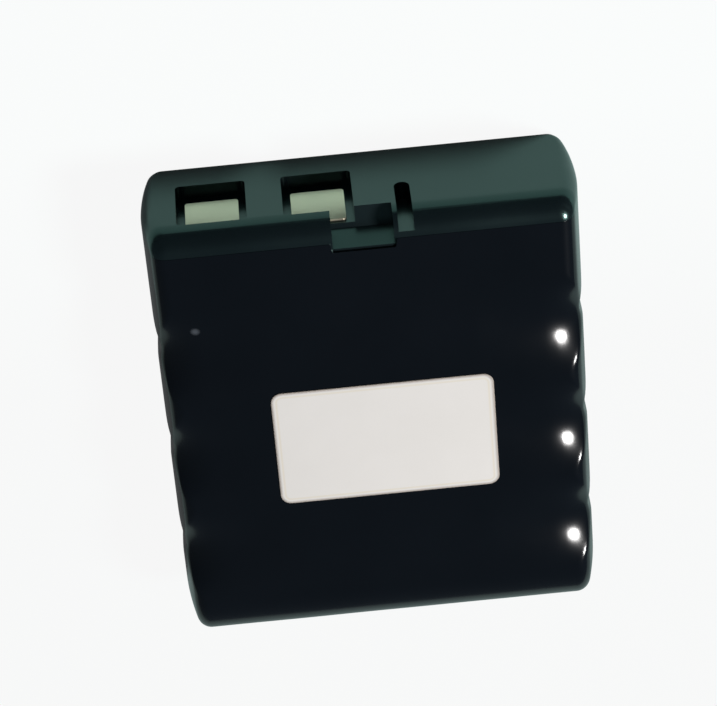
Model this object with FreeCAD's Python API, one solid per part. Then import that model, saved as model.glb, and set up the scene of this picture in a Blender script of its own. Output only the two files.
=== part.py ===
import FreeCAD, Part
import math
import os

os.makedirs("parts", exist_ok=True)
Vector = FreeCAD.Vector

# Cordless phone battery pack, in millimetres. X runs along the cells, +Y points to the contact edge and
# +Z out of the face that carries the label. The origin is in the middle of the box at the height of the back.

# Sealed cylindrical cells, each in its own plastic jacket
CELL_COUNT = 4
CELL_LENGTH = 48.0
CELL_GAP = 0.1
JACKET_DIAMETER = 14.3
JACKET_WALL = 0.15
JACKET_FIT = 0.02
JACKET_SHORT = 0.4
CAN_BEVEL = 1.0
CRIMP_BELOW_CAP = 0.8
CAP_RADIUS = 4.5

# Nickel strips, insulating tape and soft pads stacked on the ends of the cells
STRIP = 0.15
LINK_WIDTH = 5.0
LINK_PAST_AXIS = 3.2
WELD_SLIT_WIDTH = 0.6
WELD_SLIT_LENGTH = 3.6
TAPE = 0.12
TAPE_WIDTH = 9.0
TAPE_PAST_FIRST = 6.4
TAPE_SHORT_OF_LAST = 3.2
PAD = 0.6
PAD_SIDE = 4.8
PAD_CLIP = 1.0

# Shrink film around the whole pack
FILM = 0.3
SLACK = 0.05
END_FLAT = 2.6
END_SLANT = 1.1
SHOULDER_RADIUS = 1.8
LINER_BEVEL = 0.6
VALLEY_DIP = 2.2
VALLEY_RADIUS = 6.0
VALLEY_LENGTH = 10.7
NOTCH_DEPTH = 0.55
NOTCH_RADIUS = 4.5
OPENING_LENGTH = 43.0
OPENING_HEIGHT = 6.4
OPENING_CORNER = 3.0

# Contact holder beside the first cell
HOLDER_RISE = 2.75
HEAD_BACK = 2.0
HEAD_FRONT = 3.0
HEAD_FRONT_RADIUS = 2.8
HEAD_BACK_RADIUS = 0.4
LEG_PAST_AXIS = 4.0
LEG_SHORT_OF_END = 2.8
WINDOW_WIDTH = 8.1
WINDOW_LOW = 4.15
WINDOW_TALL = 8.35
WINDOW_DEPTH = 1.8
WINDOW_CORNER = 0.5
NEGATIVE_X = -17.0
POSITIVE_X = -4.75
LATCH_WIDTH = 7.1
LATCH_DROP = 3.0
LATCH_LEDGE = 2.8
LATCH_RAMP = 1.2
LATCH_FILM_GAP = 0.2
KEY_X = 5.0
KEY_WIDTH = 1.8
KEY_LOW = 7.8
KEY_DEPTH = 2.2

# Contact plates in the windows, and the leads from the plates to the left end of the pack
PLATE = 0.3
PLATE_MARGIN = 0.95
PLATE_CORNER = 0.4
TONGUE = 0.2
TONGUE_WIDTH = 3.0
TONGUE_DROP = 0.45
LEAD_WIDTH = 1.1
LANE_LOW = 1.2
LANE_GAP = 0.3
LANE_PLAY = 0.1
WELD_FOOT = 4.4
RETURN_WIDTH = 2.5
RETURN_PAST_FIRST = 3.0
RETURN_STEP = 2.6

# Paper label
LABEL_LENGTH = 26.3
LABEL_WIDTH = 16.1
LABEL_PAPER = 0.12
LABEL_CORNER = 1.3
LABEL_X = 0.65
LABEL_ABOVE_CELLS = 0.6

# Places worked out from the sizes above; the cells are counted from the contact edge
JACKET_RADIUS = JACKET_DIAMETER / 2
CAN_RADIUS = JACKET_RADIUS - JACKET_WALL - JACKET_FIT
PITCH = JACKET_DIAMETER + CELL_GAP
THICKNESS = JACKET_DIAMETER + 2 * (FILM + SLACK)
MIDDLE_Z = THICKNESS / 2
HEIGHT = MIDDLE_Z + (CELL_COUNT - 1) * PITCH + JACKET_RADIUS + HOLDER_RISE
FACE_Y = HEIGHT / 2
FOOT_Y = -HEIGHT / 2
LAST_Y = FOOT_Y + MIDDLE_Z
CELL_Y = [LAST_Y + (CELL_COUNT - 1 - k) * PITCH for k in range(CELL_COUNT)]
FIRST_Y = CELL_Y[0]
LEFT_STACK = STRIP + TAPE + STRIP + PAD
RIGHT_STACK = STRIP + PAD
HALF_LENGTH = (LEFT_STACK + CELL_LENGTH + RIGHT_STACK) / 2 + SLACK + FILM
CELL_X = (LEFT_STACK - RIGHT_STACK) / 2
CELL_LEFT = CELL_X - CELL_LENGTH / 2
CELL_RIGHT = CELL_X + CELL_LENGTH / 2
LEG_TOP_Y = FACE_Y - HEAD_BACK + 2 * SLACK
PLATE_TOP_Y = FACE_Y - WINDOW_DEPTH
PLATE_SEAT_Y = PLATE_TOP_Y - PLATE
PLATE_LOW = WINDOW_LOW + PLATE_MARGIN
LEAD_Y = PLATE_SEAT_Y - TONGUE_DROP
WINDOW_Z = WINDOW_LOW + WINDOW_TALL / 2
POSITIVE_LANE = LANE_LOW
NEGATIVE_LANE = LANE_LOW + LEAD_WIDTH + LANE_GAP
LANES_HIGH = NEGATIVE_LANE + LEAD_WIDTH
BEYOND = 5.0


def box(x0, x1, y0, y1, z0, z1):
    """Block between two corners."""
    return Part.makeBox(x1 - x0, y1 - y0, z1 - z0, Vector(x0, y0, z0))


def face_of(points):
    """Flat face inside a closed outline of straight edges."""
    return Part.Face(Part.makePolygon(points + points[:1]))


def rounded_face(length, width, radius, place):
    """Rectangle with round corners; place turns two distances from its middle into a point."""
    a = length / 2
    b = width / 2
    cut = radius * (1 - math.sqrt(0.5))
    arcs = []
    for sx, sy in ((1, 1), (-1, 1), (-1, -1), (1, -1)):
        ends = [place(sx * a, sy * (b - radius)), place(sx * (a - radius), sy * b)]
        if sx * sy < 0:
            ends.reverse()
        arcs.append(Part.Arc(ends[0], place(sx * (a - cut), sy * (b - cut)), ends[1]).toShape())
    edges = []
    for arc, following in zip(arcs, arcs[1:] + arcs[:1]):
        edges.append(arc)
        edges.append(Part.makeLine(arc.Vertexes[-1].Point, following.Vertexes[0].Point))
    return Part.Face(Part.Wire(edges))


def save(name, shape):
    """Write one node, whose shape may hold several like solids."""
    solids = shape.Solids
    whole = solids[0] if len(solids) == 1 else Part.makeCompound(solids)
    whole.exportStep(os.path.join("parts", name + ".step"))


def taut_form(inset, soften):
    """Pack with ends that slant back from a flat: a profile carried up it and turned about the last cell."""
    slope = END_SLANT / (MIDDLE_Z - END_FLAT)
    level = MIDDLE_Z - inset
    end = HALF_LENGTH - inset
    flat = END_FLAT - inset * math.tan(math.atan(slope) / 2)
    rim = end - (level - flat) * slope

    def profile(points):
        return face_of([Vector(x, LAST_Y, MIDDLE_Z + height) for x, height in points])

    front = [(-end, flat), (-rim, level), (rim, level), (end, flat)]
    back = [(-x, -height) for x, height in front]
    block = profile(front + back).extrude(Vector(0, FACE_Y - LAST_Y, 0))
    half = profile(front + [(end, 0), (-end, 0)])
    foot = half.revolve(Vector(0, LAST_Y, MIDDLE_Z), Vector(1, 0, 0), 180)
    return soften(block).fuse(soften(foot))


def end_rims(solid):
    """Edges along the two ends of the form where they meet its front, back and foot."""
    inside = solid.BoundBox.XMax - SLACK
    level = [edge for edge in solid.Edges if edge.BoundBox.XLength < SLACK < edge.BoundBox.YLength]
    return [edge for edge in level if abs(edge.CenterOfMass.x) < inside]


def sharp(solid):
    """Form left with plain rims."""
    return solid


def rounded(solid):
    """Form with the round shoulders of the film outside."""
    return solid.makeFillet(SHOULDER_RADIUS, end_rims(solid))


def bevelled(solid):
    """Form with the plain slope of the film inside its shoulders."""
    return solid.makeChamfer(LINER_BEVEL, end_rims(solid))


def film_dips(inset):
    """Round cutters where the film sinks between cells: notches in the ends, dips in front and behind."""
    slope = math.atan2(VALLEY_DIP, VALLEY_LENGTH)
    notch_x = HALF_LENGTH - NOTCH_DEPTH + NOTCH_RADIUS
    length = VALLEY_LENGTH + 2 * BEYOND
    cutters = []
    for valley_y in [axis_y + PITCH / 2 for axis_y in CELL_Y[1:]]:
        for end in (1, -1):
            foot = Vector(end * notch_x, valley_y, -BEYOND)
            cutters.append(Part.makeCylinder(NOTCH_RADIUS + inset, THICKNESS + 2 * BEYOND, foot))
            for side in (1, -1):
                along = Vector(end * math.cos(slope), 0, -side * math.sin(slope))
                outward = Vector(end * math.sin(slope), 0, side * math.cos(slope))
                start = Vector(end * (HALF_LENGTH - VALLEY_LENGTH), valley_y, MIDDLE_Z * (1 + side))
                base = start + outward * VALLEY_RADIUS - along * BEYOND
                cutters.append(Part.makeCylinder(VALLEY_RADIUS + inset, length, base, along))
    return cutters


def above_film(gap):
    """Space on the contact side of the film's edge, which lies lower in front than behind."""
    fall = (HEAD_FRONT - HEAD_BACK) / THICKNESS
    levels = [-BEYOND, THICKNESS + BEYOND]
    edge = [Vector(-far, FACE_Y - HEAD_BACK - fall * z + gap, z) for z in levels]
    over = [Vector(-far, FACE_Y + BEYOND, z) for z in reversed(levels)]
    return face_of(edge + over).extrude(Vector(2 * far, 0, 0))


def edge_at(solid, x, y, z):
    """Straight edge of a block that has its middle at a point."""
    middle = Vector(x, y, z)
    return [edge for edge in solid.Edges if edge.CenterOfMass.distanceToPoint(middle) < SLACK]


def turned(outline, k):
    """Solid turned about the axis of cell k; outline pairs a distance from its negative end with a radius."""
    toward = -1 if k % 2 == 0 else 1
    start = CELL_X - toward * CELL_LENGTH / 2
    points = [Vector(start + toward * along, CELL_Y[k] + radius, MIDDLE_Z) for along, radius in outline]
    return face_of(points).revolve(Vector(start, CELL_Y[k], MIDDLE_Z), Vector(1, 0, 0), 360)


# Film sleeve: one wall between two forms, open where the contact head stands out and along the last cell
far = HALF_LENGTH + BEYOND
pack_form = taut_form(0, rounded)
outer_form = pack_form.cut(film_dips(0))
inner_form = taut_form(FILM, bevelled).cut(film_dips(FILM))
latch_side = LATCH_WIDTH / 2 + LATCH_FILM_GAP
latch_back_y = FACE_Y - LATCH_LEDGE - LATCH_RAMP
opening = rounded_face(OPENING_LENGTH, OPENING_HEIGHT, OPENING_CORNER,
                       lambda a, b: Vector(a, FOOT_Y - BEYOND, MIDDLE_Z + b))
sleeve = outer_form.cut(inner_form).cut(above_film(0))
sleeve = sleeve.cut(box(-latch_side, latch_side, latch_back_y - LATCH_FILM_GAP, FACE_Y,
                        MIDDLE_Z, THICKNESS + BEYOND))
sleeve = sleeve.cut(opening.extrude(Vector(0, BEYOND + MIDDLE_Z, 0)))
save("shrink_sleeve", sleeve)

# Contact holder: a head flush with the film, and legs under the film astride the first cell
leg_half = HALF_LENGTH - LEG_SHORT_OF_END
brow = box(-far, far, FIRST_Y, FACE_Y, 0, THICKNESS)
brow = brow.makeFillet(HEAD_FRONT_RADIUS, edge_at(brow, 0, FACE_Y, THICKNESS))
brow = brow.makeFillet(HEAD_BACK_RADIUS, edge_at(brow, 0, FACE_Y, 0))
plan = box(-HALF_LENGTH, HALF_LENGTH, FIRST_Y, FACE_Y, 0, THICKNESS)
corners = edge_at(plan, HALF_LENGTH, FACE_Y, MIDDLE_Z) + edge_at(plan, -HALF_LENGTH, FACE_Y, MIDDLE_Z)
plan = plan.makeFillet(SHOULDER_RADIUS, corners)
head = pack_form.common(brow).common(plan).common(above_film(SLACK))
legs = taut_form(FILM + SLACK, sharp)
legs = legs.common(box(-leg_half, leg_half, FIRST_Y + LEG_PAST_AXIS, LEG_TOP_Y, -BEYOND, THICKNESS + BEYOND))
bore = Part.makeCylinder(JACKET_RADIUS + SLACK, 2 * far, Vector(-far, FIRST_Y, MIDDLE_Z), Vector(1, 0, 0))
holder = head.fuse(legs).cut(bore)
holder = holder.cut(box(-far, POSITIVE_X + TONGUE_WIDTH / 2 + LANE_PLAY, FIRST_Y, LEAD_Y,
                        LANE_LOW - LANE_PLAY, LANES_HIGH + LANE_PLAY))
tongue_high = PLATE_LOW + TONGUE
for window_x, lane in ((POSITIVE_X, POSITIVE_LANE), (NEGATIVE_X, NEGATIVE_LANE)):
    window = rounded_face(WINDOW_WIDTH, WINDOW_TALL, WINDOW_CORNER,
                          lambda a, b: Vector(window_x + a, PLATE_SEAT_Y, WINDOW_Z + b))
    slit = TONGUE_WIDTH / 2 + LANE_PLAY
    holder = holder.cut(window.extrude(Vector(0, BEYOND, 0)))
    holder = holder.cut(box(window_x - slit, window_x + slit, LEAD_Y, PLATE_SEAT_Y,
                            PLATE_LOW - LANE_PLAY, tongue_high + LANE_PLAY))
    holder = holder.cut(box(window_x - slit, window_x + slit, FIRST_Y, LEAD_Y,
                            lane - LANE_PLAY, tongue_high + LANE_PLAY))
latch_x = -LATCH_WIDTH / 2
latch = face_of([
    Vector(latch_x, FACE_Y + BEYOND, THICKNESS - LATCH_DROP),
    Vector(latch_x, FACE_Y - LATCH_LEDGE, THICKNESS - LATCH_DROP),
    Vector(latch_x, latch_back_y, THICKNESS),
    Vector(latch_x, latch_back_y, THICKNESS + BEYOND),
    Vector(latch_x, FACE_Y + BEYOND, THICKNESS + BEYOND),
])
holder = holder.cut(latch.extrude(Vector(LATCH_WIDTH, 0, 0)))
key_half = KEY_WIDTH / 2
key_y = FACE_Y - KEY_DEPTH
key_end = Part.makeCylinder(key_half, BEYOND, Vector(KEY_X, key_y, KEY_LOW + key_half), Vector(0, 1, 0))
key_run = box(KEY_X - key_half, KEY_X + key_half, key_y, key_y + BEYOND,
              KEY_LOW + key_half, THICKNESS + BEYOND)
holder = holder.cut(key_end.fuse(key_run))
save("contact_holder", holder)

# Contact plates: pads on the window floors, each with a tongue folded down through the floor to its lead
for polarity, window_x in (("positive", POSITIVE_X), ("negative", NEGATIVE_X)):
    pad = rounded_face(WINDOW_WIDTH - 2 * PLATE_MARGIN, WINDOW_TALL - 2 * PLATE_MARGIN, PLATE_CORNER,
                       lambda a, b: Vector(window_x + a, PLATE_SEAT_Y, WINDOW_Z + b))
    tongue = box(window_x - TONGUE_WIDTH / 2, window_x + TONGUE_WIDTH / 2,
                 LEAD_Y, PLATE_SEAT_Y, PLATE_LOW, tongue_high)
    save("contact_plate_" + polarity, pad.extrude(Vector(0, PLATE, 0)).fuse(tongue).removeSplitter())

# Cells: a sealed can with a crimped rim and a raised cap, in a tube of thin plastic
crimp_at = CELL_LENGTH - CRIMP_BELOW_CAP
can = [(0, 0), (0, CAN_RADIUS - CAN_BEVEL), (CAN_BEVEL, CAN_RADIUS), (crimp_at, CAN_RADIUS)]
can += [(crimp_at, CAP_RADIUS), (CELL_LENGTH, CAP_RADIUS), (CELL_LENGTH, 0)]
liner = CAN_RADIUS + JACKET_FIT
jacket_end = crimp_at - JACKET_SHORT
jacket = [(CAN_BEVEL, liner), (CAN_BEVEL, JACKET_RADIUS), (jacket_end, JACKET_RADIUS), (jacket_end, liner)]
for k in range(CELL_COUNT):
    save("cell_%d" % (k + 1), turned(can, k))
    save("cell_jacket_%d" % (k + 1), turned(jacket, k))

# Links: slit nickel strips that join neighbouring cells at alternate ends
for k in range(CELL_COUNT - 1):
    strip_x = CELL_RIGHT if k % 2 == 0 else CELL_LEFT - STRIP
    top_y = CELL_Y[k] + LINK_PAST_AXIS
    low_y = CELL_Y[k + 1] - LINK_PAST_AXIS
    link = box(strip_x, strip_x + STRIP, low_y, top_y, MIDDLE_Z - LINK_WIDTH / 2, MIDDLE_Z + LINK_WIDTH / 2)
    slit = WELD_SLIT_WIDTH / 2
    for slit_y in (top_y - WELD_SLIT_LENGTH, low_y + WELD_SLIT_LENGTH - 2 * BEYOND):
        link = link.cut(box(strip_x, strip_x + STRIP, slit_y, slit_y + 2 * BEYOND,
                            MIDDLE_Z - slit, MIDDLE_Z + slit))
    save("cell_link_%d_%d" % (k + 1, k + 2), link)

# Positive lead: from under its plate to the left end, then down and across to the cap of the first cell
first_x = CELL_LEFT - STRIP
foot = WELD_FOOT / 2
lane_z = POSITIVE_LANE + LEAD_WIDTH
lead = box(first_x, POSITIVE_X + TONGUE_WIDTH / 2, LEAD_Y - STRIP, LEAD_Y, POSITIVE_LANE, lane_z)
lead = lead.fuse([
    box(POSITIVE_X - TONGUE_WIDTH / 2, POSITIVE_X + TONGUE_WIDTH / 2, LEAD_Y - STRIP, LEAD_Y,
        POSITIVE_LANE, tongue_high),
    box(first_x, CELL_LEFT, FIRST_Y - foot, LEAD_Y, POSITIVE_LANE, lane_z),
    box(first_x, CELL_LEFT, FIRST_Y - foot, FIRST_Y + foot, POSITIVE_LANE, MIDDLE_Z + foot),
])
save("positive_lead", lead.removeSplitter())

# Negative lead: from under its plate over the taped ends of the other cells to the base of the last cell
inner_x = first_x - TAPE
outer_x = inner_x - STRIP
cross_y = FIRST_Y + RETURN_PAST_FIRST
half_run = RETURN_WIDTH / 2
step_y = LAST_Y + RETURN_STEP
lane_z = NEGATIVE_LANE + LEAD_WIDTH
lead = box(outer_x, NEGATIVE_X + TONGUE_WIDTH / 2, LEAD_Y - STRIP, LEAD_Y, NEGATIVE_LANE, lane_z)
lead = lead.fuse([
    box(NEGATIVE_X - TONGUE_WIDTH / 2, NEGATIVE_X + TONGUE_WIDTH / 2, LEAD_Y - STRIP, LEAD_Y,
        NEGATIVE_LANE, tongue_high),
    box(outer_x, inner_x, cross_y, LEAD_Y, NEGATIVE_LANE, lane_z),
    box(outer_x, inner_x, cross_y, cross_y + RETURN_WIDTH, NEGATIVE_LANE, MIDDLE_Z + half_run),
    box(outer_x, inner_x, step_y, cross_y + RETURN_WIDTH, MIDDLE_Z - half_run, MIDDLE_Z + half_run),
    box(outer_x, CELL_LEFT, step_y, step_y + STRIP, MIDDLE_Z - half_run, MIDDLE_Z + half_run),
    box(first_x, CELL_LEFT, LAST_Y - foot, step_y + STRIP, MIDDLE_Z - half_run, MIDDLE_Z + half_run),
])
save("negative_lead", lead.removeSplitter())

# Insulating tape between the negative lead and the strips under it
save("end_tape", box(inner_x, first_x, LAST_Y + TAPE_SHORT_OF_LAST, FIRST_Y + TAPE_PAST_FIRST,
                     MIDDLE_Z - TAPE_WIDTH / 2, MIDDLE_Z + TAPE_WIDTH / 2))

# Soft pads with clipped corners, one on the end of each cell, which hold out the flats of the film
side = PAD_SIDE / 2
clip = side - PAD_CLIP
outline = [(side, clip), (clip, side), (-clip, side), (-side, clip)]
outline += [(-side, -clip), (-clip, -side), (clip, -side), (side, -clip)]
for end, pad_x in (("left", outer_x - PAD), ("right", CELL_RIGHT + STRIP)):
    pads = []
    for axis_y in CELL_Y:
        pad = face_of([Vector(pad_x, axis_y + a, MIDDLE_Z + b) for a, b in outline])
        pads.append(pad.extrude(Vector(PAD, 0, 0)))
    save("end_pads_" + end, Part.makeCompound(pads))

# Paper label on the flat part of the front
label_y = (FIRST_Y + LAST_Y) / 2 + LABEL_ABOVE_CELLS
label = rounded_face(LABEL_LENGTH, LABEL_WIDTH, LABEL_CORNER,
                     lambda a, b: Vector(LABEL_X + a, label_y + b, THICKNESS))
save("label", label.extrude(Vector(0, 0, LABEL_PAPER)))
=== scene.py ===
import math
import bmesh
import bpy
import numpy as np
from mathutils import Matrix, Vector


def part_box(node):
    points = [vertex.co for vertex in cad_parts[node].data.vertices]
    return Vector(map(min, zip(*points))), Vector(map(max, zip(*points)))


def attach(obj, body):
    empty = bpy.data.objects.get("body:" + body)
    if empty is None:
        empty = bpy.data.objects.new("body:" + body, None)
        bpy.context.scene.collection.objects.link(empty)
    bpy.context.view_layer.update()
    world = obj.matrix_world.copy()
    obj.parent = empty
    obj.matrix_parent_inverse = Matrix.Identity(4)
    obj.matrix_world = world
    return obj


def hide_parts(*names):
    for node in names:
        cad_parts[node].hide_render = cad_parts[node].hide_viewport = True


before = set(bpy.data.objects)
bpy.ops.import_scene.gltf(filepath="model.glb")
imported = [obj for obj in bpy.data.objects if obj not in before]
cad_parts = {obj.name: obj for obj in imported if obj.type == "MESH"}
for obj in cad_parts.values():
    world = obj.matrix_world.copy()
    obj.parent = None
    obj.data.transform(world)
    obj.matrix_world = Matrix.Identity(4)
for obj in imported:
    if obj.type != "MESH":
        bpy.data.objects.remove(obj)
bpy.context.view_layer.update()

# Cells. Four sealed round cells lie side by side with their poles turned about. Each is a drawn steel can,
# nickel plated in a barrel, so it shines softly with fine marks along its length.

MM = 0.001
NOISE_LOW = 0.3
NOISE_HIGH = 0.7
BLOTCH_DETAIL = 5.0
GRAIN_DETAIL = 3.0


def linear(hex_colour):
    """Linear RGBA of an sRGB hex colour: c / 12.92 up to 0.04045, else ((c + 0.055) / 1.055) ** 2.4."""
    srgb = np.array([int(hex_colour[i:i + 2], 16) for i in (0, 2, 4)]) / 255
    rgb = np.where(srgb <= 0.04045, srgb / 12.92, ((srgb + 0.055) / 1.055) ** 2.4)
    return (*rgb.tolist(), 1.0)


def per_mm(size):
    """Scale of a pattern on Object coordinates, in metres, whose features are size millimetres across."""
    return 1 / (size * MM)


def add(tree, kind, inputs=(), **settings):
    """Add one shader node; inputs pairs a socket's name or number with a value or another node's output."""
    made = tree.nodes.new("ShaderNode" + kind)
    for name, value in settings.items():
        setattr(made, name, value)
    for key, value in dict(inputs).items():
        if isinstance(value, bpy.types.NodeSocket):
            tree.links.new(value, made.inputs[key])
        else:
            made.inputs[key].default_value = value
    return made


def new_material(name):
    """Empty material with its output node, as (material, tree, output)."""
    made = bpy.data.materials.new(name)
    made.use_nodes = True
    made.node_tree.nodes.clear()
    return made, made.node_tree, add(made.node_tree, "OutputMaterial")


def surface(name, dark, pale, patch, rough, grain, relief, stretch=(1, 1, 1), **constants):
    """Material with a blotchy colour from dark to pale, roughness over the range rough, and a fine relief.

    patch and grain are the sizes of the blotches and of the relief in mm, and relief is its height in mm.
    stretch divides the pattern's spread along each axis, and constants go on the shader's own sockets."""
    made, tree, output = new_material(name)
    place = add(tree, "TexCoord").outputs["Object"]
    place = add(tree, "Mapping", {"Vector": place, "Scale": stretch}).outputs["Vector"]
    blotch = {"Vector": place, "Scale": per_mm(patch), "Detail": BLOTCH_DETAIL}
    blotch = add(tree, "TexNoise", blotch).outputs["Fac"]
    fine = {"Vector": place, "Scale": per_mm(grain), "Detail": GRAIN_DETAIL}
    fine = add(tree, "TexNoise", fine).outputs["Fac"]
    colour = {"Factor": blotch, 6: linear(dark), 7: linear(pale)}
    colour = add(tree, "Mix", colour, data_type="RGBA").outputs[2]
    dull = {"Value": blotch, 1: NOISE_LOW, 2: NOISE_HIGH, 3: rough[0], 4: rough[1]}
    dull = add(tree, "MapRange", dull).outputs[0]
    bump = add(tree, "Bump", {"Height": fine, "Strength": 1.0, "Distance": relief * MM}).outputs["Normal"]
    look = {"Base Color": colour, "Roughness": dull, "Normal": bump, **constants}
    shader = add(tree, "BsdfPrincipled", look)
    tree.links.new(shader.outputs[0], output.inputs["Surface"])
    return made


def dress(names, material):
    """Give one material to CAD nodes."""
    for name in names:
        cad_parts[name].data.materials[0] = material


CELL_COUNT = 4
cell_names = ["cell_%d" % k for k in range(1, CELL_COUNT + 1)]
plated_steel = surface("nickel_plated_steel", dark="a3a19a", pale="bdbbb3", patch=4.0, rough=(0.22, 0.36),
                       grain=0.25, relief=0.004, stretch=(0.1, 1, 1), Metallic=1.0)
dress(cell_names, plated_steel)

# Cell jackets. A thin tube of dark plastic is shrunk on each can, and the last one shows through the long
# opening of the outer film. It is smooth and a little glossy, with faint draw lines along the cell.

jacket_names = ["cell_jacket_%d" % k for k in range(1, CELL_COUNT + 1)]
jacket_film = surface("dark_jacket_film", dark="161b1d", pale="22292b", patch=7.0, rough=(0.24, 0.34),
                      grain=0.8, relief=0.006, stretch=(0.12, 1, 1), IOR=1.52)
dress(jacket_names, jacket_film)

# Links and leads. Strips of rolled nickel are spot welded from cell to cell, and two of them run on to the
# contacts. Rolling leaves them bright with fine lines.

strip_names = ["cell_link_1_2", "cell_link_2_3", "cell_link_3_4", "positive_lead", "negative_lead"]
rolled_nickel = surface("rolled_nickel_strip", dark="a8a59b", pale="c2bfb4", patch=2.5, rough=(0.2, 0.34),
                        grain=0.12, relief=0.003, stretch=(1, 0.1, 1), Metallic=1.0)
dress(strip_names, rolled_nickel)

# Tape and pads on the cell ends. Tan insulating paper lies under the long lead, and a soft dark pad on each
# cell end keeps the welds from rubbing through the film.

insulating_paper = surface("tan_insulating_paper", dark="8d7b57", pale="a08d66", patch=3.0, rough=(0.75, 0.9),
                           grain=0.2, relief=0.02)
dress(["end_tape"], insulating_paper)
soft_pad = surface("dark_soft_pad", dark="24262a", pale="31343a", patch=2.0, rough=(0.8, 0.95),
                   grain=0.3, relief=0.04)
dress(["end_pads_left", "end_pads_right"], soft_pad)

# Contact holder. One black injection moulding with two windows, a key slot and a latch notch. The mould
# leaves its edges slightly round and its corners blended, and polished tooling gives it a soft sheen. Its
# reflections are tinted cool by a painted reflection colour.

HOLDER_EDGE = 0.2
HOLDER_EDGE_STEPS = 3
SHARPEST_SMOOTH = math.radians(30)
FLATTEST_EDGE = math.radians(0.5)
MERGE = 0.001
film_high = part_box("shrink_sleeve")[1]
HALF_LENGTH = film_high.x / MM
THICKNESS = film_high.z / MM
MIDDLE = THICKNESS / 2
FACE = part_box("contact_holder")[1].y / MM
HEAD_BACK = 2.0
HEAD_FRONT = 3.0
HEAD_FRONT_RADIUS = 2.8
HEAD_BACK_RADIUS = 0.4
SHOULDER_RADIUS = 1.8
SHOULDER_LEAN = math.radians(16)
END_FLAT = 2.6
END_SLANT = 1.1
END_FADE = 1.5
CORNER_RADIUS = 1.8
CORNER_BACK_RADIUS = 0.9
CORNER_OFF_FILM = 0.1
CORNER_PLAY = 0.12
CORNER_STEP = 0.2
FACE_STEP = 0.6


def merged_copy(node_name, piece_name):
    """Mesh of a CAD node with its loose triangles joined and its flat faces made whole."""
    shape = bmesh.new()
    shape.from_mesh(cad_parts[node_name].data)
    bmesh.ops.remove_doubles(shape, verts=shape.verts, dist=MERGE * MM)
    bmesh.ops.dissolve_limit(shape, angle_limit=FLATTEST_EDGE, verts=shape.verts, edges=shape.edges)
    mesh = bpy.data.meshes.new(piece_name)
    shape.to_mesh(mesh)
    shape.free()
    mesh.materials.clear()
    return mesh


def place_piece(mesh, piece_name, material, node_name):
    """Put a finished mesh into the scene in place of a CAD node."""
    piece = bpy.data.objects.new(piece_name, mesh)
    bpy.context.scene.collection.objects.link(piece)
    mesh.materials.append(material)
    mesh.polygons.foreach_set("use_smooth", np.ones(len(mesh.polygons), bool))
    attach(piece, "root")
    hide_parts(node_name)
    return piece


def soften(piece, name, width, steps):
    """Round the sharp edges of a piece over width in mm and keep its flat faces level."""
    edge = piece.modifiers.new(name, "BEVEL")
    edge.width = width * MM
    edge.segments = steps
    edge.limit_method = "ANGLE"
    edge.angle_limit = SHARPEST_SMOOTH
    edge.harden_normals = True


def take_in(piece):
    """Take a piece's modifiers into its mesh."""
    shaped = piece.evaluated_get(bpy.context.evaluated_depsgraph_get())
    piece.data = bpy.data.meshes.new_from_object(shaped)
    piece.modifiers.clear()


def ease(t):
    """Smooth step: 3 t squared minus 2 t cubed, with t held between 0 and 1."""
    t = np.clip(t, 0, 1)
    return t * t * (3 - 2 * t)


def arc_start(lean):
    """Height over the middle where the shoulder's arc starts, with its normal leaning forward by lean."""
    return MIDDLE - SHOULDER_RADIUS * (1 - math.sin(lean))


def end_arc(h, start_x, lean):
    """Reach of the shoulder's arc at the height h: x = centre + root of (radius squared - rise squared)."""
    rise = h - (MIDDLE - SHOULDER_RADIUS)
    centre = start_x - SHOULDER_RADIUS * math.cos(lean)
    return centre + np.sqrt(np.clip(SHOULDER_RADIUS ** 2 - rise ** 2, 0, None))


def slanted_end(h):
    """Reach of the holder's CAD node at the height h from the middle: a flat, a slant, then an arc."""
    lean = math.atan(END_SLANT / (MIDDLE - END_FLAT))
    slant = HALF_LENGTH - np.clip(h - END_FLAT, 0, None) * math.tan(lean)
    start_x = HALF_LENGTH - (arc_start(lean) - END_FLAT) * math.tan(lean)
    return np.where(h > arc_start(lean), end_arc(h, start_x, lean), slant)


def domed_end(h):
    """Reach of the finished pack's end: the dome x = half length - k h h, then the shoulder's arc."""
    start_h = arc_start(SHOULDER_LEAN)
    bulge = math.tan(SHOULDER_LEAN) / (2 * start_h)
    start_x = HALF_LENGTH - bulge * start_h ** 2
    return np.where(h > start_h, end_arc(h, start_x, SHOULDER_LEAN), HALF_LENGTH - bulge * h * h)


def film_edge(z):
    """Place of the film's edge along y at the height z: from HEAD_BACK to HEAD_FRONT below the face."""
    return FACE - HEAD_BACK - (HEAD_FRONT - HEAD_BACK) * z / THICKNESS


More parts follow.
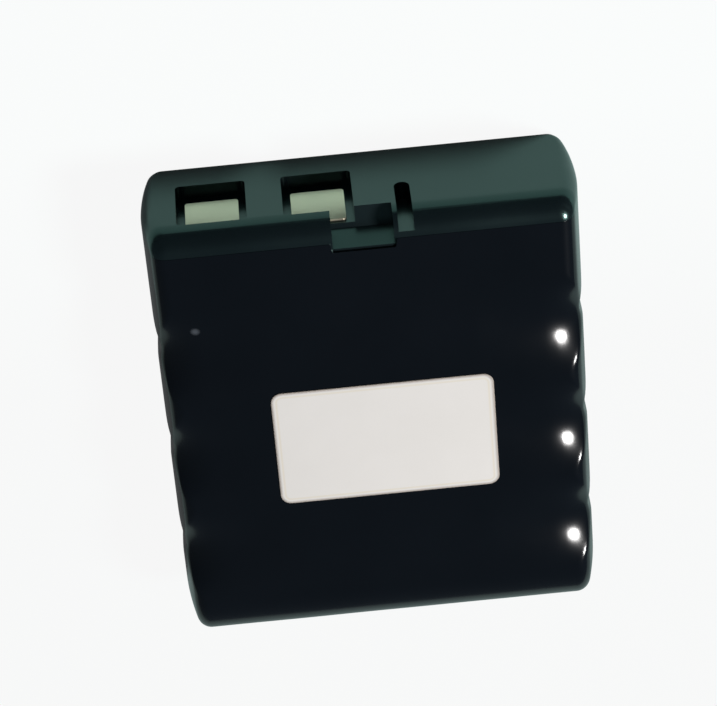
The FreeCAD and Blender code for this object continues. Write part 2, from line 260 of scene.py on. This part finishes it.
def part_ends(mesh):
    """Part the holder on planes across x, y and z, closest near its corners, to give it points to bend."""
    shape = bmesh.new()
    shape.from_mesh(mesh)
    across = np.arange(domed_end(MIDDLE) - CORNER_RADIUS, HALF_LENGTH, CORNER_STEP)
    ahead = np.arange(FACE - HEAD_FRONT + CORNER_STEP, FACE, CORNER_STEP)
    up = np.concatenate([
        np.arange(CORNER_STEP, HEAD_FRONT_RADIUS, CORNER_STEP),
        np.arange(HEAD_FRONT_RADIUS, THICKNESS - HEAD_FRONT_RADIUS, FACE_STEP),
        np.arange(THICKNESS - HEAD_FRONT_RADIUS, THICKNESS, CORNER_STEP),
    ])
    planes = [((x * MM, 0, 0), (1, 0, 0)) for x in (*-across, *across)]
    planes += [((0, y * MM, 0), (0, 1, 0)) for y in ahead]
    planes += [((0, 0, z * MM), (0, 0, 1)) for z in up]
    for point, axis in planes:
        everything = shape.verts[:] + shape.edges[:] + shape.faces[:]
        bmesh.ops.bisect_plane(shape, geom=everything, dist=MERGE * MM, plane_co=point, plane_no=axis)
    shape.to_mesh(mesh)
    shape.free()


def blend_ends(mesh):
    """Bring the head's ends from slants to the dome, and round its outline at each height near the corners.

    The ends move by domed_end - slanted_end, which fades over END_FADE inward. A point past both sides of a
    corner's middle then goes to the distance r from it. r grows from the film's edge up to CORNER_RADIUS in
    front, and falls to CORNER_BACK_RADIUS at the back."""
    places = np.empty(len(mesh.vertices) * 3)
    mesh.vertices.foreach_get("co", places)
    x, y, z = places.reshape(-1, 3).T / MM
    h = abs(z - MIDDLE)
    side = domed_end(h)
    slanted = slanted_end(h)
    x = x + np.sign(x) * (side - slanted) * ease((abs(x) - slanted + END_FADE) / END_FADE)
    face_round = np.where(z > MIDDLE, HEAD_FRONT_RADIUS, HEAD_BACK_RADIUS)
    rise = np.clip(h - MIDDLE + face_round, 0, face_round)
    front = FACE - face_round + np.sqrt(face_round ** 2 - rise ** 2)
    tighter = (CORNER_RADIUS - CORNER_BACK_RADIUS) * ease(1 - z / MIDDLE)
    radius = np.clip(front - film_edge(z) - CORNER_OFF_FILM, MERGE, CORNER_RADIUS - tighter)
    out = np.clip(abs(x) - side + radius, 0, None)
    ahead = np.clip(y - front + radius, 0, None)
    away = np.hypot(out, ahead)
    bent = (out > 0) & (ahead > 0) & (away > radius - np.minimum(CORNER_PLAY, radius / 2))
    change = np.where(bent, radius / np.maximum(away, MERGE), 1) - 1
    moved = np.stack([x + np.sign(x) * out * change, y + ahead * change, z], 1)
    mesh.vertices.foreach_set("co", (moved * MM).ravel())
    mesh.update()


def level_shading(mesh):
    """Normal at each point: the sum of its faces' normals times their areas, so flat faces shade flat."""
    point_of = np.empty(len(mesh.loops), int)
    corners = np.empty(len(mesh.polygons), int)
    area = np.empty(len(mesh.polygons))
    normal = np.empty(len(mesh.polygons) * 3)
    mesh.loops.foreach_get("vertex_index", point_of)
    mesh.polygons.foreach_get("loop_total", corners)
    mesh.polygons.foreach_get("area", area)
    mesh.polygons.foreach_get("normal", normal)
    weighted = np.zeros((len(mesh.vertices), 3))
    np.add.at(weighted, point_of, np.repeat(normal.reshape(-1, 3) * area[:, None], corners, 0))
    mesh.normals_split_custom_set_from_vertices(weighted / np.linalg.norm(weighted, axis=1, keepdims=True))


# The specular tint is a painted reflection colour: it tints every reflection on the holder a cool teal.
mould_gloss_and_painted_tint = {"IOR": 1.5, "Specular IOR Level": 0.85, "Specular Tint": linear("cdfff8")}
black_moulding = surface("black_moulded_plastic", dark="0a0f12", pale="10161a", patch=9.0, rough=(0.19, 0.25),
                         grain=0.35, relief=0.003, **mould_gloss_and_painted_tint)
holder_mesh = merged_copy("contact_holder", "moulded_contact_holder")
holder = place_piece(holder_mesh, "moulded_contact_holder", black_moulding,
                     "contact_holder")
soften(holder, "moulded edges", HOLDER_EDGE, HOLDER_EDGE_STEPS)
take_in(holder)
part_ends(holder.data)
blend_ends(holder.data)
level_shading(holder.data)

# Contact plates. Stamped nickel-plated pads lie on the floors of the windows. Use has dulled them, and the
# spring contacts have pressed them slightly hollow and left fine upright rubs.

plate_names = ["contact_plate_positive", "contact_plate_negative"]
plate_low, plate_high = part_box("contact_plate_positive")
PLATE_MIDDLE = (plate_low.z + plate_high.z) / 2 / MM
PLATE_HOLLOW = 0.036


def hollowed(material, middle, height):
    """Press a material hollow along z: the relief rises by height times (z - middle) squared, all in mm."""
    tree = material.node_tree
    shader = tree.nodes["Principled BSDF"]
    z = add(tree, "SeparateXYZ", {0: add(tree, "TexCoord").outputs["Object"]}).outputs["Z"]
    off = add(tree, "Math", {0: z, 1: -middle * MM}, operation="ADD").outputs[0]
    off = add(tree, "Math", {0: off, 1: 1 / MM}, operation="MULTIPLY").outputs[0]
    off = add(tree, "Math", {0: off, 1: off}, operation="MULTIPLY").outputs[0]
    rubs = shader.inputs["Normal"].links[0].from_socket
    hollow = {"Height": off, "Strength": 1.0, "Distance": height * MM, "Normal": rubs}
    tree.links.new(add(tree, "Bump", hollow).outputs["Normal"], shader.inputs["Normal"])


worn_plate = surface("worn_nickel_plate", dark="ece2c6", pale="f6edd4", patch=3.5, rough=(0.3, 0.42),
                     grain=0.3, relief=0.006, stretch=(1, 1, 0.15), Metallic=0.9)
hollowed(worn_plate, PLATE_MIDDLE, PLATE_HOLLOW)
dress(plate_names, worn_plate)

# Shrink film. One tube of black film is shrunk round the holder and the cells. It lies flat over the middle,
# sinks between the cells towards both ends, domes over the cell ends and leaves a long opening at the foot.

first_low, first_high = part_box(jacket_names[0])
last_low, last_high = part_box(jacket_names[-1])
FIRST_AXIS = (first_low.y + first_high.y) / 2 / MM
LAST_AXIS = (last_low.y + last_high.y) / 2 / MM
PITCH = (FIRST_AXIS - LAST_AXIS) / (CELL_COUNT - 1)
FILM_WALL = 0.3
FILM_CUT_EDGE = 0.05
FILM_CUT_STEPS = 2
DIP_FROM = 12.0
DIP_SLOPE = 0.13
DIP_START = 1.5
DIP_BENDS_FROM = 20.0
DIP_BEND = 0.07
DIP_RIM = 0.35
NOTCH_DEPTH = 0.55
NOTCH_REACH = 1.7
SLACK = 0.012
SLACK_WAVE_X = 3.1
SLACK_WAVE_Y = 2.7
SLACK_WANDER_X = 0.7
SLACK_WANDER_Y = 0.9
SLACK_BEND_X = 5.9
SLACK_BEND_Y = 4.3
LATCH_HALF = 3.75
LATCH_SINK = 1.2
LATCH_CORNER = 0.3
LATCH_REACH = 3.0
LATCH_MARGIN = 0.4
OPENING_HALF = 21.5
OPENING_RISE = 3.3
OPENING_CORNER = 3.0
OPENING_FADE = 4.0
INSIDE_LATCH_COLUMNS = 8
LATCH_COLUMNS = 9
FLAT_COLUMNS = 26
RIM_COLUMNS = 5
DOME_COLUMNS = 12
SHOULDER_COLUMNS = 13
FLAT_ROWS = 112
TURN_ROWS = 18
OPENING_ROWS = 15


def lesser(a, b, blend):
    """Smooth lesser of two surfaces: half of a + b less the root of (a - b) squared plus blend squared."""
    return (a + b - np.sqrt((a - b) ** 2 + blend ** 2)) / 2


def end_profile():
    """Right end of the film's profile from the flat over the shoulder and dome to the middle, as x and h."""
    angle = np.linspace(SHOULDER_LEAN, math.pi / 2, SHOULDER_COLUMNS)[1:]
    dome_h = np.linspace(0, arc_start(SHOULDER_LEAN), DOME_COLUMNS)
    h = np.concatenate([dome_h, MIDDLE - SHOULDER_RADIUS * (1 - np.sin(angle))])[::-1]
    return domed_end(h), h


def film_columns():
    """Columns from the left middle over the flat to the right middle: x, h and the opening's last column."""
    end_x, end_h = end_profile()
    latch = np.linspace(LATCH_HALF - LATCH_MARGIN, LATCH_HALF + LATCH_MARGIN, LATCH_COLUMNS)
    half_flat = np.concatenate([
        np.linspace(0, latch[0], INSIDE_LATCH_COLUMNS)[1:-1],
        latch,
        np.linspace(latch[-1], OPENING_HALF, FLAT_COLUMNS)[1:],
        np.linspace(OPENING_HALF, end_x[0], RIM_COLUMNS)[1:-1],
    ])
    half_x = np.concatenate([half_flat, end_x])
    half_h = np.concatenate([np.full(len(half_flat), MIDDLE), end_h])
    x = np.concatenate([-half_x[::-1], [0], half_x])
    h = np.concatenate([half_h[::-1], [MIDDLE], half_h])
    return x, h, int(np.argmin(abs(x - OPENING_HALF)))


def film_rows():
    """Rows from the front edge round the foot to the back edge: a share of the way up and an outward angle.

    On the flats the angle is straight up or down, and round the last cell it turns through half a circle."""
    up = np.linspace(1, 0, FLAT_ROWS)[:-1]
    half_open = OPENING_RISE / MIDDLE
    turn = np.concatenate([
        np.linspace(math.pi / 2, half_open, TURN_ROWS)[:-1],
        np.linspace(half_open, -half_open, OPENING_ROWS),
        np.linspace(-half_open, -math.pi / 2, TURN_ROWS)[1:],
    ])
    share = np.concatenate([up, np.zeros(len(turn)), up[::-1]])
    angle = np.concatenate([np.full(len(up), math.pi / 2), turn, np.full(len(up), -math.pi / 2)])
    return share, angle


def latch_pull(x, y, edge_y):
    """How far the latch cuts back the front edge: LATCH_SINK, eased off at LATCH_HALF and down the film."""
    fade = LATCH_REACH + LATCH_SINK
    across = ease((LATCH_HALF + LATCH_CORNER / 2 - abs(x)) / LATCH_CORNER)
    return LATCH_SINK * across * ease((y - edge_y + fade) / fade)


def opening_pull(x, angle, flat_end):
    """How far columns bend in round the opening's corners: r less the root of (r squared - d squared).

    d is the way along the turn past the corner's start, and the pull fades out beyond the opening."""
    along = abs(angle) * MIDDLE
    inside = np.clip(along - (OPENING_RISE - OPENING_CORNER), 0, OPENING_CORNER)
    pull = OPENING_CORNER - np.sqrt(OPENING_CORNER ** 2 - inside ** 2)
    pull = pull * (1 - ease((along - OPENING_RISE) / OPENING_FADE))
    outside = (flat_end - abs(x)) / (flat_end - OPENING_HALF)
    return pull * np.clip(np.where(abs(x) <= OPENING_HALF, abs(x) / OPENING_HALF, outside), 0, 1)


def from_valley(y):
    """Way along y from the nearest line between two cells, and half a pitch past the outer cells' axes."""
    between = (y < FIRST_AXIS) & (y > LAST_AXIS)
    return np.where(between, np.mod(y - LAST_AXIS, PITCH) - PITCH / 2, PITCH / 2)


def valley_sink(x, off):
    """Depth between cells: cos(pi off / pitch) squared times (slope r r / (r + start) + bend q q).

    r and q are the distances past DIP_FROM and DIP_BENDS_FROM along x."""
    past = np.clip(abs(x) - DIP_FROM, 0, None)
    bend = np.clip(abs(x) - DIP_BENDS_FROM, 0, None)
    depth = DIP_SLOPE * past ** 2 / (past + DIP_START) + DIP_BEND * bend ** 2
    return np.cos(math.pi * off / PITCH) ** 2 * depth


def film_slack(x, y):
    """Slight waves: SLACK (1 - cos(x / wave + wander sin(y / bend)) cos(y / wave + wander sin(x / bend)))."""
    wave_x = np.cos(x / SLACK_WAVE_X + SLACK_WANDER_X * np.sin(y / SLACK_BEND_Y))
    wave_y = np.cos(y / SLACK_WAVE_Y + SLACK_WANDER_Y * np.sin(x / SLACK_BEND_X))
    return SLACK * (1 - wave_x * wave_y)


def film_points():
    """Grid of the film: P = (x, y - h cos a, MIDDLE + h sin a), with a the row's outward angle.

    Between cells h is the smooth lesser of the plain height and MIDDLE - sink. At the ends x is the smooth
    lesser of the dome and HALF_LENGTH - notch, where the notch falls off as a bell from the valley's line."""
    column_x, column_h, gate = film_columns()
    row_share, row_angle = film_rows()
    x, share = np.meshgrid(column_x, row_share)
    h, angle = np.meshgrid(column_h, row_angle)
    edge_y = film_edge(MIDDLE + h * np.sin(angle))
    y = LAST_AXIS + share * (edge_y - LAST_AXIS)
    y = y - np.where(angle >= math.pi / 2, latch_pull(x, y, edge_y), 0)
    flat_end = abs(column_x[column_h >= MIDDLE - MERGE]).max()
    x = x - np.sign(x) * opening_pull(x, angle, flat_end)
    off = from_valley(y)
    sink = valley_sink(x, off)
    notch = NOTCH_DEPTH * np.exp(-(off / NOTCH_REACH) ** 2)
    h = lesser(h, MIDDLE - sink, DIP_RIM * sink) * (1 - film_slack(x, y) / MIDDLE)
    x = np.sign(x) * lesser(abs(x), HALF_LENGTH - notch, notch / 2)
    points = np.stack([x, y - h * np.cos(angle), MIDDLE + h * np.sin(angle)], 2) * MM
    open_rows = np.flatnonzero(abs(row_angle) <= OPENING_RISE / MIDDLE + MERGE)
    return points, open_rows, gate


def grid_faces(rows, columns):
    """Quads of a grid whose points are numbered row by row."""
    corner = np.arange(rows * columns).reshape(rows, columns)
    return np.stack([corner[:-1, :-1], corner[1:, :-1], corner[1:, 1:], corner[:-1, 1:]], 2)


def close_up(mesh):
    """Join the meeting points of a mesh and turn all its faces outward."""
    shape = bmesh.new()
    shape.from_mesh(mesh)
    bmesh.ops.remove_doubles(shape, verts=shape.verts, dist=MERGE * MM)
    bmesh.ops.dissolve_degenerate(shape, edges=shape.edges, dist=MERGE * MM)
    bmesh.ops.recalc_face_normals(shape, faces=shape.faces)
    shape.to_mesh(mesh)
    shape.free()


def film_mesh():
    """Film as a grid with the opening left out; its two long seams meet in the middle of the ends."""
    points, open_rows, gate = film_points()
    rows, columns = points.shape[:2]
    faces = grid_faces(rows, columns)
    keep = np.ones(faces.shape[:2], bool)
    keep[open_rows[0]:open_rows[-1], columns - 1 - gate:gate] = False
    used, corners = np.unique(faces[keep], return_inverse=True)
    mesh = bpy.data.meshes.new("black_shrink_film")
    mesh.from_pydata(points.reshape(-1, 3)[used].tolist(), [], corners.reshape(-1, 4).tolist())
    close_up(mesh)
    return mesh


SCUFF_AT = (-20.3, 16.9, THICKNESS - 0.4)
SCUFF_CORE = 0.2
SCUFF_REACH = 0.65
SCUFF_SHARE = 0.6


def scuffed(material):
    """Rub one pale spot into a material: its share falls to nothing from SCUFF_CORE to SCUFF_REACH."""
    tree = material.node_tree
    shader = tree.nodes["Principled BSDF"]
    place = add(tree, "TexCoord").outputs["Object"]
    spot = Vector(SCUFF_AT) * MM
    away = add(tree, "VectorMath", {0: place, 1: spot}, operation="DISTANCE").outputs["Value"]
    share = {"Value": away, 1: SCUFF_CORE * MM, 2: SCUFF_REACH * MM, 3: SCUFF_SHARE, 4: 0.0}
    share = add(tree, "MapRange", share).outputs[0]
    plain = shader.inputs["Base Color"].links[0].from_socket
    colour = add(tree, "Mix", {"Factor": share, 6: plain, 7: linear("5f656d")}, data_type="RGBA").outputs[2]
    tree.links.new(colour, shader.inputs["Base Color"])


black_film = surface("black_shrink_film", dark="04080e", pale="070c13", patch=12.0, rough=(0.15, 0.19),
                     grain=1.4, relief=0.002, IOR=1.5)
scuffed(black_film)
film = place_piece(film_mesh(), "black_shrink_film", black_film, "shrink_sleeve")
wall = film.modifiers.new("film wall", "SOLIDIFY")
wall.thickness = FILM_WALL * MM
wall.offset = -1
wall.use_even_offset = True
soften(film, "cut edges", FILM_CUT_EDGE, FILM_CUT_STEPS)

# Label. A plain white paper sticker with round corners is pressed on the flat front of the film. A faint
# cream line runs just inside its edge, and handling has greyed the cut edge.

label_low, label_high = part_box("label")
LABEL_CORNER = 1.3
LABEL_CORNER_POINTS = 7
LABEL_EDGE_ROUND = 0.05
LABEL_EDGE_INSET = 0.02
LABEL_EDGE_DROP = 0.015
LABEL_LINE_AT = 0.62
LABEL_LINE_HALF = 0.2
LABEL_LINE_SHARE = 0.6
LABEL_RINGS = [LABEL_EDGE_ROUND, 0.2, 0.4, LABEL_LINE_AT, 0.85, LABEL_CORNER, 1.8, 2.5, 4.0, 6.0, 7.0, 8.0]
WORN_FROM = 0.04
WORN_TO = 0.4
WORN_SHARE = 0.85
PAPER_FIBRE = 0.5
PAPER_CLOUD = 6.0
PAPER_DETAIL = 4.0
PAPER_ROUGH = (0.6, 0.75)
PAPER_RELIEF = 0.006


def label_outline(inset):
    """Outline of the label drawn in by inset: four arcs, each its corner's centre + r (cos a, sin a)."""
    low = np.array(label_low[:2]) / MM
    high = np.array(label_high[:2]) / MM
    middle = (low + high) / 2
    reach = (high - low) / 2 - LABEL_CORNER
    quarter = np.linspace(0, math.pi / 2, LABEL_CORNER_POINTS)
    angle = np.concatenate([quarter + k * math.pi / 2 for k in range(4)])
    sign = np.repeat(np.array([[1, 1], [-1, 1], [-1, -1], [1, -1]]), LABEL_CORNER_POINTS, 0)
    radius = max(LABEL_CORNER - inset, 0)
    spare = max(inset - LABEL_CORNER, 0)
    arcs = radius * np.stack([np.cos(angle), np.sin(angle)], 1)
    return middle + sign * np.clip(reach - spare, 0, None) + arcs


def label_mesh():
    """Rings of the outline from the foot of the cut edge to the middle, closed there and underneath."""
    thick = (label_high.z - label_low.z) / MM
    insets = [0, 0, LABEL_EDGE_INSET] + LABEL_RINGS
    drops = [thick, LABEL_EDGE_ROUND, LABEL_EDGE_DROP] + [0] * len(LABEL_RINGS)
    rings = []
    for inset, drop in zip(insets, drops):
        flat = label_outline(inset)
        rings.append(np.column_stack([flat, np.full(len(flat), label_high.z / MM - drop)]))
    points = np.stack(rings) * MM
    points = np.concatenate([points, points[:, :1]], 1)
    faces = grid_faces(*points.shape[:2]).reshape(-1, 4)
    under = np.arange(len(rings[0]))
    middle = under + (len(insets) - 1) * points.shape[1]
    mesh = bpy.data.meshes.new("white_paper_label")
    mesh.from_pydata(points.reshape(-1, 3).tolist(), [], faces.tolist() + [under.tolist(), middle.tolist()])
    depth = mesh.attributes.new("edge_mm", "FLOAT", "POINT")
    depth.data.foreach_set("value", np.repeat(np.array(insets, np.float32), points.shape[1]))
    close_up(mesh)
    return mesh


def paper_material():
    """Matt paper: fibre mottling, a cream line at LABEL_LINE_AT from the edge and a greyed rim."""
    made, tree, output = new_material("plain_white_paper")
    place = add(tree, "TexCoord").outputs["Object"]
    edge = add(tree, "Attribute", attribute_name="edge_mm").outputs["Fac"]
    fibre = {"Vector": place, "Scale": per_mm(PAPER_FIBRE), "Detail": PAPER_DETAIL}
    fibre = add(tree, "TexNoise", fibre).outputs["Fac"]
    cloud = {"Vector": place, "Scale": per_mm(PAPER_CLOUD), "Detail": PAPER_DETAIL}
    cloud = add(tree, "TexNoise", cloud).outputs["Fac"]
    colour = {"Factor": cloud, 6: linear("e9e6e3"), 7: linear("e3e0dc")}
    colour = add(tree, "Mix", colour, data_type="RGBA").outputs[2]
    off = add(tree, "Math", {0: edge, 1: -LABEL_LINE_AT}, operation="ADD").outputs[0]
    off = add(tree, "Math", {0: off}, operation="ABSOLUTE").outputs[0]
    line = {"Value": off, 1: 0.0, 2: LABEL_LINE_HALF, 3: LABEL_LINE_SHARE, 4: 0.0}
    line = add(tree, "MapRange", line).outputs[0]
    colour = add(tree, "Mix", {"Factor": line, 6: colour, 7: linear("e0d6c0")}, data_type="RGBA").outputs[2]
    worn = add(tree, "MapRange", {"Value": edge, 1: WORN_FROM, 2: WORN_TO, 3: WORN_SHARE, 4: 0.0}).outputs[0]
    colour = add(tree, "Mix", {"Factor": worn, 6: colour, 7: linear("8f8276")}, data_type="RGBA").outputs[2]
    dull = {"Value": fibre, 1: NOISE_LOW, 2: NOISE_HIGH, 3: PAPER_ROUGH[0], 4: PAPER_ROUGH[1]}
    dull = add(tree, "MapRange", dull).outputs[0]
    bump = {"Height": fibre, "Strength": 1.0, "Distance": PAPER_RELIEF * MM}
    bump = add(tree, "Bump", bump).outputs["Normal"]
    shader = add(tree, "BsdfPrincipled", {"Base Color": colour, "Roughness": dull, "Normal": bump})
    tree.links.new(shader.outputs[0], output.inputs["Surface"])
    return made


place_piece(label_mesh(), "white_paper_label", paper_material(), "label")

# Stage. The pack lies on a plain floor, white to the eye, in a dim and cool studio, so that the film stays
# black. One lamp high on its right lights it and draws the highlights on the shoulders.

FLOOR_HALF = 1500
FLOOR_BELOW = 0.05
WHITE_TO_CAMERA = 0.92
WHITE_TO_MIRRORS = 0.1
FLOOR_PAINTED_DARK_AT = 0
FLOOR_PAINTED_PALE_AT = 34


def white_floor():
    """Floor that camera rays see mostly, and mirror and glass rays partly, as its own white.

    The rest is matt and takes the lamp's light and the shadow: cool grey-green, with painted light that
    makes it darker towards the pack's middle line and paler towards the contact side."""
    made, tree, output = new_material("white_studio_floor")
    path = add(tree, "LightPath").outputs
    mirrored = {0: path["Is Glossy Ray"], 1: path["Is Transmission Ray"]}
    mirrored = add(tree, "Math", mirrored, operation="MAXIMUM").outputs[0]
    mirrored = add(tree, "Math", {0: mirrored, 1: WHITE_TO_MIRRORS}, operation="MULTIPLY").outputs[0]
    seen = add(tree, "Math", {0: path["Is Camera Ray"], 1: WHITE_TO_CAMERA}, operation="MULTIPLY").outputs[0]
    share = add(tree, "Math", {0: seen, 1: mirrored}, operation="MAXIMUM").outputs[0]
    along = add(tree, "SeparateXYZ", {0: add(tree, "TexCoord").outputs["Object"]}).outputs["Y"]
    # Painted light: the matt tone runs from darker at the pack's middle line to paler towards the contact
    # side.
    pale = add(tree, "MapRange", {"Value": along, 1: FLOOR_PAINTED_DARK_AT * MM, 2: FLOOR_PAINTED_PALE_AT * MM}).outputs[0]
    tone_and_painted_light = {"Factor": pale, 6: linear("78918e"), 7: linear("b4d8d2")}
    tone_and_painted_light = add(tree, "Mix", tone_and_painted_light, data_type="RGBA").outputs[2]
    matt = add(tree, "BsdfDiffuse", {"Color": tone_and_painted_light}).outputs[0]
    white = add(tree, "Emission", {"Color": linear("ffffff"), "Strength": 1.0}).outputs[0]
    mixed = add(tree, "MixShader", {0: share, 1: matt, 2: white}).outputs[0]
    tree.links.new(mixed, output.inputs["Surface"])
    return made


floor_corners = np.array([(-1, -1, 0), (1, -1, 0), (1, 1, 0), (-1, 1, 0)]) * FLOOR_HALF
floor_corners = (floor_corners - (0, 0, FLOOR_BELOW)) * MM
floor_mesh = bpy.data.meshes.new("floor")
floor_mesh.from_pydata(floor_corners.tolist(), [], [(0, 1, 2, 3)])
floor_mesh.materials.append(white_floor())
floor = bpy.data.objects.new("floor", floor_mesh)
bpy.context.scene.collection.objects.link(floor)

STUDIO_GLOW = 0.11
CONTACT_SIDE_GLOW = 0.07
GLOW_FALLS_FROM = -0.2
GLOW_FALLS_TO = 0.5
studio = bpy.data.worlds.new("studio")
bpy.context.scene.world = studio
studio.use_nodes = True
air = studio.node_tree
air.nodes.clear()
toward = add(air, "SeparateXYZ", {0: add(air, "TexCoord").outputs["Generated"]}).outputs["Y"]
fall = {"Value": toward, 1: GLOW_FALLS_FROM, 2: GLOW_FALLS_TO, 3: STUDIO_GLOW, 4: CONTACT_SIDE_GLOW}
strength = add(air, "MapRange", fall).outputs[0]
glow = add(air, "Background", {"Color": linear("d0e4f4"), "Strength": strength}).outputs[0]
air.links.new(glow, add(air, "OutputWorld").inputs["Surface"])

LAMP_TOWARD = Vector((0.60, -0.105, 0.79)).normalized()
LAMP_AWAY = 600
LAMP_ACROSS = 160
LAMP_WATTS = 3.95
lamp_light = bpy.data.lights.new("lamp", "AREA")
lamp_light.shape = "DISK"
lamp_light.size = LAMP_ACROSS * MM
lamp_light.energy = LAMP_WATTS
lamp_light.color = linear("fffdfb")[:3]
lamp = bpy.data.objects.new("lamp", lamp_light)
lamp.location = LAMP_TOWARD * LAMP_AWAY * MM
lamp.rotation_euler = LAMP_TOWARD.to_track_quat("Z", "Y").to_euler()
bpy.context.scene.collection.objects.link(lamp)

# Camera. It looks at the front and the contact edge from the contact side, a little to the left of the pack,
# through a long lens.

CAMERA_AT = Vector((-6.22, 234.37, 339.1))
CAMERA_RIGHT = Vector((0.99519, -0.07378, 0.06446))
CAMERA_BACK = Vector((-0.01147, 0.56561, 0.82459))
SENSOR = 36.0
LENS = 169.69
lens = bpy.data.cameras.new("camera")
lens.sensor_fit = "HORIZONTAL"
lens.sensor_width = SENSOR
lens.lens = LENS
camera = bpy.data.objects.new("camera", lens)
back = CAMERA_BACK.normalized()
up = back.cross(CAMERA_RIGHT).normalized()
right = up.cross(back)
turn = Matrix((right, up, back)).transposed().to_4x4()
camera.matrix_world = Matrix.Translation(CAMERA_AT * MM) @ turn
bpy.context.scene.collection.objects.link(camera)
bpy.context.scene.camera = camera
bpy.context.scene.view_settings.view_transform = "Standard"
